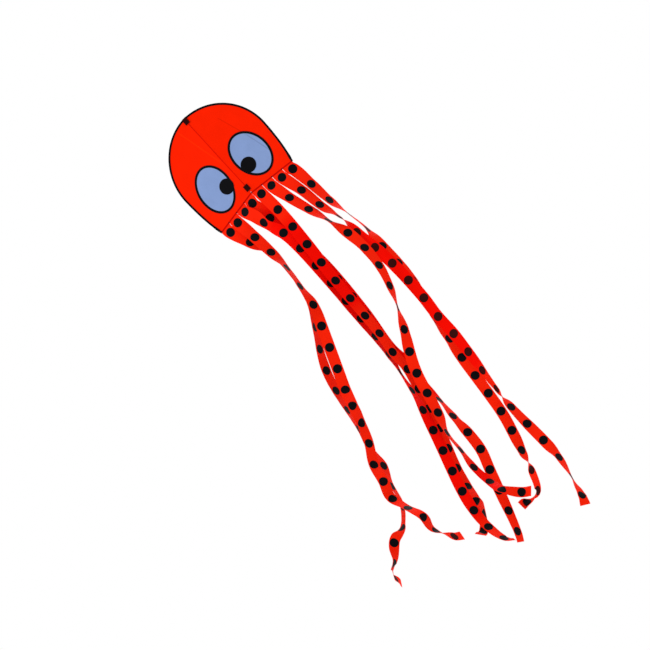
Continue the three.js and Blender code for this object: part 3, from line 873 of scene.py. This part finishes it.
def strap_half(name, side, path, thickness):
    """One half of a webbing tab, from the spine to its edge. path is a line of (depth, height)."""
    columns = 8
    rings = []
    for i, (y, z) in enumerate(path):
        before, after = Vector(path[max(i - 1, 0)]), Vector(path[min(i + 1, len(path) - 1)])
        along = (after - before).normalized()
        out = Vector((along.y, -along.x))
        ring = []
        for layer in (1, -1):
            row = []
            for k in range(columns + 1):
                x = PATCH_HALF * k / columns
                lift = thickness / 2 * (1 if k < columns else 0.55)
                point = Vector((y, z)) + out * lift * layer
                row.append(Vector((side * x, point.x, point.y)))
            ring += row if layer > 0 else row[::-1]
        rings.append(ordered(-side, ring))
    return bend_tab(swept(name, rings, webbing, 60))


def nose_path():
    """The nose tab's way up the front of the sail, over the bow rod and down behind the spine rod."""
    top, turn = DOME_HEIGHT + 1.8, DOME_HEIGHT - ROD_INSET
    front, back = -5.0, SPINE_Y + 5.4
    middle, radius = (front + back) / 2, (back - front) / 2
    path = [(front, lerp(NOSE_PATCH_Z, turn, i / 12)) for i in range(13)]
    for i in range(1, 12):
        angle = math.pi * (1 - i / 12)
        path.append((middle + radius * math.cos(angle), turn + (top - turn) * math.sin(angle)))
    return path + [(back, lerp(turn, NOSE_PATCH_Z + 24, i / 6)) for i in range(7)]


def sew_tab(name, side, depth, low, high):
    """Stitches in a box with a cross, on one half of a tab."""
    reach, middle = (PATCH_HALF - 3) * side, (low + high) / 2
    box = [(0, low), (reach, low), (reach, high), (0, high)]
    cross = [(reach, low), (0, middle), (reach, high)]
    runs = [[(Vector((x, depth, z)), FRONT) for x, z in line] for line in (box, cross)]
    bend_tab(stitched(name, runs, black_thread))


def build_tabs():
    low, high = FOOT_PATCH_Z
    foot_path = [(-2.9, lerp(low, high, i / 14)) for i in range(15)]
    for side, word in WINGS.items():
        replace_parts(strap_half(f"nose_tab_{word}", side, nose_path(), 1.7), "nose_pocket")
        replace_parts(strap_half(f"foot_tab_{word}", side, foot_path, 1.6), "foot_patch")
        sew_tab(f"nose_stitches_{word}", side, -5.95, NOSE_PATCH_Z + 3, DOME_HEIGHT - 15)
        sew_tab(f"foot_stitches_{word}", side, -3.8, low + 3, high - 3)


def build_spine():
    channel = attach(build_spine_sleeve(), "spine")
    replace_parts(channel, "spine_sleeve")
    low, high = SPINE_SLEEVE_Z
    run = [(Vector((0, -1.8, lerp(high - 4, low + 4, i / 60))), FRONT) for i in range(61)]
    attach(stitched("seam_stitches", [run], red_thread, width=0.3, height=0.2), "spine")

    def section(z, bulge, _):
        profile = ((-3.4, -2.2), (-2, -2.4 - bulge), (2, -2.4 - bulge), (3.4, -2.2))
        return [Vector((x, y, z)) for x, y in profile]

    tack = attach(bar_tack("tack_centre", FOOT_Z + 0.8, section), "spine")
    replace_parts(tack, "bar_tack_centre")


def build_connector(side):
    """Half of the vinyl tube that joins the bow rods, set at its wing's angle."""
    rings, bores = [], []
    for i in range(9):
        along = JOINER_REACH * i / 8
        z = (DOME_HEIGHT - ROD_INSET) * math.sqrt(1 - (along / (DOME_HALF_WIDTH - ROD_INSET)) ** 2)
        outer = 3.4 if i < 8 else 3.1
        ring = [on_wing(side, along, outer * depth, z + outer * up) for depth, up in around(16)]
        bore = [on_wing(side, along, 2.5 * depth, z + 2.5 * up) for depth, up in around(16)]
        rings.append(ordered(side, ring))
        bores.append(ordered(side, bore))
    piece = swept(f"rod_joiner_{WINGS[side]}", rings, vinyl, 20, inner=bores)
    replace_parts(piece, "nose_connector")
    bend_with_wing(piece)


# ---- the tails ----

def catmull_rom(points, t):
    """A centripetal Catmull-Rom curve through the points, and its direction."""
    last = len(points) - 1
    place = t * last
    k = min(int(place), last - 1)
    w = place - k
    p1, p2 = points[k], points[k + 1]
    p0 = points[k - 1] if k > 0 else 2 * points[0] - points[1]
    p3 = points[k + 2] if k + 2 <= last else 2 * points[last] - points[last - 1]
    d0, d1, d2 = ((b - a).length ** 0.5 for a, b in ((p0, p1), (p1, p2), (p2, p3)))
    m1 = ((p1 - p0) / d0 - (p2 - p0) / (d0 + d1) + (p2 - p1) / d1) * d1
    m2 = ((p2 - p1) / d1 - (p3 - p1) / (d1 + d2) + (p3 - p2) / d2) * d1
    c2 = -3 * p1 + 3 * p2 - 2 * m1 - m2
    c3 = 2 * p1 - 2 * p2 + m1 + m2
    point = p1 + m1 * w + c2 * w * w + c3 * w ** 3
    return point, (m1 + 2 * c2 * w + 3 * c3 * w * w).normalized()


class Ribbon:
    """A tail's middle line, with the direction across it and the direction its front faces."""

    def __init__(self, index):
        side = self.side = -1 if index < TAILS_PER_WING else 1
        along = abs(index - TAILS_PER_WING + 0.5) * TAIL_PITCH
        top = on_wing(side, along, 0, base_z(along) - 0.4)
        below = top - Vector((0, 0, TAIL_LEAD))
        seam_twist = side * math.degrees(DIHEDRAL)
        route = [(*top, seam_twist), (*below, seam_twist), *TAIL_ROUTES[index]]
        points = [Vector(r[:3]) for r in route]
        spans = len(route) - 1
        self.frames = []
        self.along = []
        travelled = 0.0
        for i in range(spans):
            steps = max(2, round((points[i + 1] - points[i]).length / 8))
            for j in range(0 if i == 0 else 1, steps + 1):
                point, tangent = catmull_rom(points, (i + j / steps) / spans)
                twist = math.radians(lerp(route[i][3], route[i + 1][3], smoothstep(0, 1, j / steps)))
                depth = Vector((0, 1, 0))
                depth = (depth - tangent * depth.dot(tangent)).normalized()
                across = tangent.cross(depth) * math.cos(twist) + depth * math.sin(twist)
                if self.frames:
                    travelled += (point - self.frames[-1][0]).length
                self.frames.append((point, across, tangent.cross(across).normalized()))
                self.along.append(travelled)
        self.length = travelled
        self.seed = index * 17.3
        self.spare = SPARE[index]
        self.top = top

    def half_width(self, s):
        """Half the width, a little more just below the seam, where neighbouring tails almost meet."""
        width = lerp(TAIL_TOP_WIDTH, TAIL_END_WIDTH, max(0.0, s) / self.length)
        return width / 2 + self.spare * smoothstep(190, 60, s)

    def at(self, s):
        """The middle line's point and directions, a distance below the seam."""
        if s <= 0:
            point, across, out = self.frames[0]
            return point + Vector((0, 0, -s)), across, out
        low, high = 0, len(self.along) - 1
        while high - low > 1:
            middle = (low + high) // 2
            if self.along[middle] <= s:
                low = middle
            else:
                high = middle
        t = (s - self.along[low]) / max(self.along[high] - self.along[low], 1e-6)
        a, b = self.frames[low], self.frames[high]
        return a[0].lerp(b[0], t), a[1].lerp(b[1], t).normalized(), a[2].lerp(b[2], t).normalized()

    def place(self, u, s):
        """A point of the flat ribbon where it hangs, with a shallow cup, a flutter of its edges and small
        wrinkles."""
        point, across, out = self.at(s)
        half = self.half_width(s)
        free = smoothstep(40, 260, s)
        share = u / half
        cup = 2.6 * noise.noise(Vector((s / 210, self.seed, 0))) * (share * share - 0.33)
        flutter = 2.2 * noise.noise(Vector((s / 95, self.seed, 5))) * share
        wrinkle = 0.7 * noise.noise(Vector((u / 30, self.seed, s / 24)))
        gather = 0.8 * math.sin(u / 3.6 + self.seed) * smoothstep(90, 10, s) * smoothstep(0, 12, s)
        return point + across * u + out * ((cup + flutter + wrinkle) * free + gather), out

    def round_dot(self, s):
        """A dot's outline on the flat ribbon that hangs round, where the tail leans away from its seam."""
        middle, across, out = self.at(s)
        down = out.cross(across)
        down *= 1 if down.dot(self.at(s + 5)[0] - middle) > 0 else -1
        loop = []
        for cosine, sine in around(36):
            wanted = (DOT_RADIUS * cosine, DOT_RADIUS * sine)
            u, v = wanted[0], s + wanted[1]
            for _ in range(14):
                gap = self.place(u, v)[0] - middle
                u += 0.5 * (wanted[0] - gap.dot(across))
                v += 0.5 * (wanted[1] - gap.dot(down))
            loop.append((u, v))
        return loop

    def outline(self, rows):
        """The ribbon's cut: its slanting top, both sides at the rows' distances, and its end."""
        shares = (-1, -0.6, -0.2, 0.2, 0.6, 1)
        rise = math.tan(SLOPE) * self.side
        top = [(u * self.half_width(0), u * self.half_width(0) * rise - TAIL_TUCK) for u in shares]
        end = [(u * self.half_width(self.length), self.length) for u in shares[::-1]]
        right = [(self.half_width(s), s) for s in rows]
        left = [(-self.half_width(s), s) for s in reversed(rows)]
        return top + right + end + left


def build_tail(index):
    ribbon = Ribbon(index)
    name = f"tail_{index + 1}"
    pitch = (ribbon.length - FIRST_DOT - LAST_DOT) / (DOTS - 1)
    centres = [FIRST_DOT + k * pitch + DOT_CREEP[index] * math.sin(math.pi * k / (DOTS - 1))
               for k in range(DOTS)]
    dots = [ribbon.round_dot(s) if k < 2 else ellipse((0, s), (DOT_RADIUS, DOT_RADIUS), 0, 36)
            for k, s in enumerate(centres)]
    count = round(ribbon.length / 14)
    rows = [ribbon.length * i / count for i in range(1, count)]

    def clear_of_dots(u, s):
        return all(abs(math.hypot(u, s - centre) - DOT_RADIUS) > 4 for centre in centres)

    inner = []
    for i, s in enumerate(rows):
        half = ribbon.half_width(s)
        for share in ((-0.8, -0.4, 0.0, 0.4, 0.8) if i % 2 else (-0.6, -0.2, 0.2, 0.6)):
            if clear_of_dots(share * half, s):
                inner.append((share * half, s))
    flat, faces = triangulated([ribbon.outline(rows), *dots], inner,
                               lambda u, s: abs(u) < ribbon.half_width(s) - 0.05)

    def mark(u, s):
        near = [dot for centre, dot in zip(centres, dots) if abs(s - centre) < 1.5 * DOT_RADIUS]
        return 2 if any(within_loops([dot], u, s) for dot in near) else 0

    # Painted shade where another tail lies behind this one.
    shaded_stretch = DOUBLED_SHADE[index]
    red = woven(f"{name}_ripstop", TAIL_RED, 0.6, ripstop=RIPSTOP, variation=0.05,
                painted_shade=shaded_stretch and (*shaded_stretch, SHADED_RED))
    piece = thin_cloth(f"{name}_ribbon", flat, faces, ribbon.place, 0.4,
                       [red, red, dot_print, dot_behind], mark, flip=True)
    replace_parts(piece, name)
    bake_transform(piece)


# ---- the kite ----

for side in WINGS:
    build_wing(side)
build_spine()
build_tabs()
for side in WINGS:
    build_connector(side)
for index in range(2 * TAILS_PER_WING):
    build_tail(index)
for node, material in (("bow_rod_left", glass_fibre), ("bow_rod_right", glass_fibre),
                       ("spine_rod", glass_fibre), ("tip_cap_left", vinyl), ("tip_cap_right", vinyl),
                       ("spine_end_cap", vinyl)):
    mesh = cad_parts[node].data
    mesh.materials.clear()
    mesh.materials.append(material)

# ---- floor, light and camera, in metres ----

FLOOR_HALF, FLOOR_Z = 30, -7
VIEW_TARGET = Vector((-0.2945, 0.171, -1.317))
VIEW_DISTANCE = 8
VIEW_SPAN = 4.576
AZIMUTH, ELEVATION, ROLL = math.radians(13), math.radians(-13), math.radians(42.53)

corners = [(x * FLOOR_HALF, y * FLOOR_HALF, FLOOR_Z) for x, y in ((-1, -1), (1, -1), (1, 1), (-1, 1))]
floor_mesh = bpy.data.meshes.new("floor")
floor_mesh.from_pydata(corners, [], [(0, 1, 2, 3)])
floor_material, _ = principled("pale_floor", (0.9, 0.9, 0.9), 0.9, 0.1)
floor_mesh.materials.append(floor_material)
floor = bpy.data.objects.new("floor", floor_mesh)
bpy.context.scene.collection.objects.link(floor)

world = bpy.data.worlds.new("studio")
world.use_nodes = True
sky = world.node_tree.nodes["Background"]
sky.inputs["Color"].default_value = (1, 1, 1, 1)
sky.inputs["Strength"].default_value = 1.0
bpy.context.scene.world = world
bpy.context.scene.view_settings.view_transform = "Standard"


def soft_light(name, place, target, size, power):
    lamp = bpy.data.lights.new(name, "AREA")
    lamp.size = size
    lamp.energy = power
    holder = bpy.data.objects.new(name, lamp)
    holder.location = place
    holder.rotation_mode = "QUATERNION"
    holder.rotation_quaternion = (Vector(target) - Vector(place)).to_track_quat("-Z", "Y")
    bpy.context.scene.collection.objects.link(holder)


soft_light("key", (-4.5, -5, 4), (0, 0, -1), 3.0, 170)
soft_light("back", (4, 6, 3), (0, 0, -1.5), 3.0, 110)

right = Vector((math.cos(AZIMUTH), math.sin(AZIMUTH), 0))
level = math.cos(ELEVATION)
back = Vector((math.sin(AZIMUTH) * level, -math.cos(AZIMUTH) * level, math.sin(ELEVATION)))
up = back.cross(right)
picture_right = right * math.cos(ROLL) - up * math.sin(ROLL)
picture_up = right * math.sin(ROLL) + up * math.cos(ROLL)
turned = Matrix((picture_right, picture_up, back)).transposed().to_4x4()
lens = bpy.data.cameras.new("camera")
lens.type = "ORTHO"
lens.ortho_scale = VIEW_SPAN
lens.clip_end = 200
camera = bpy.data.objects.new("camera", lens)
camera.matrix_world = Matrix.Translation(VIEW_TARGET + back * VIEW_DISTANCE) @ turned
bpy.context.scene.collection.objects.link(camera)
bpy.context.scene.camera = camera
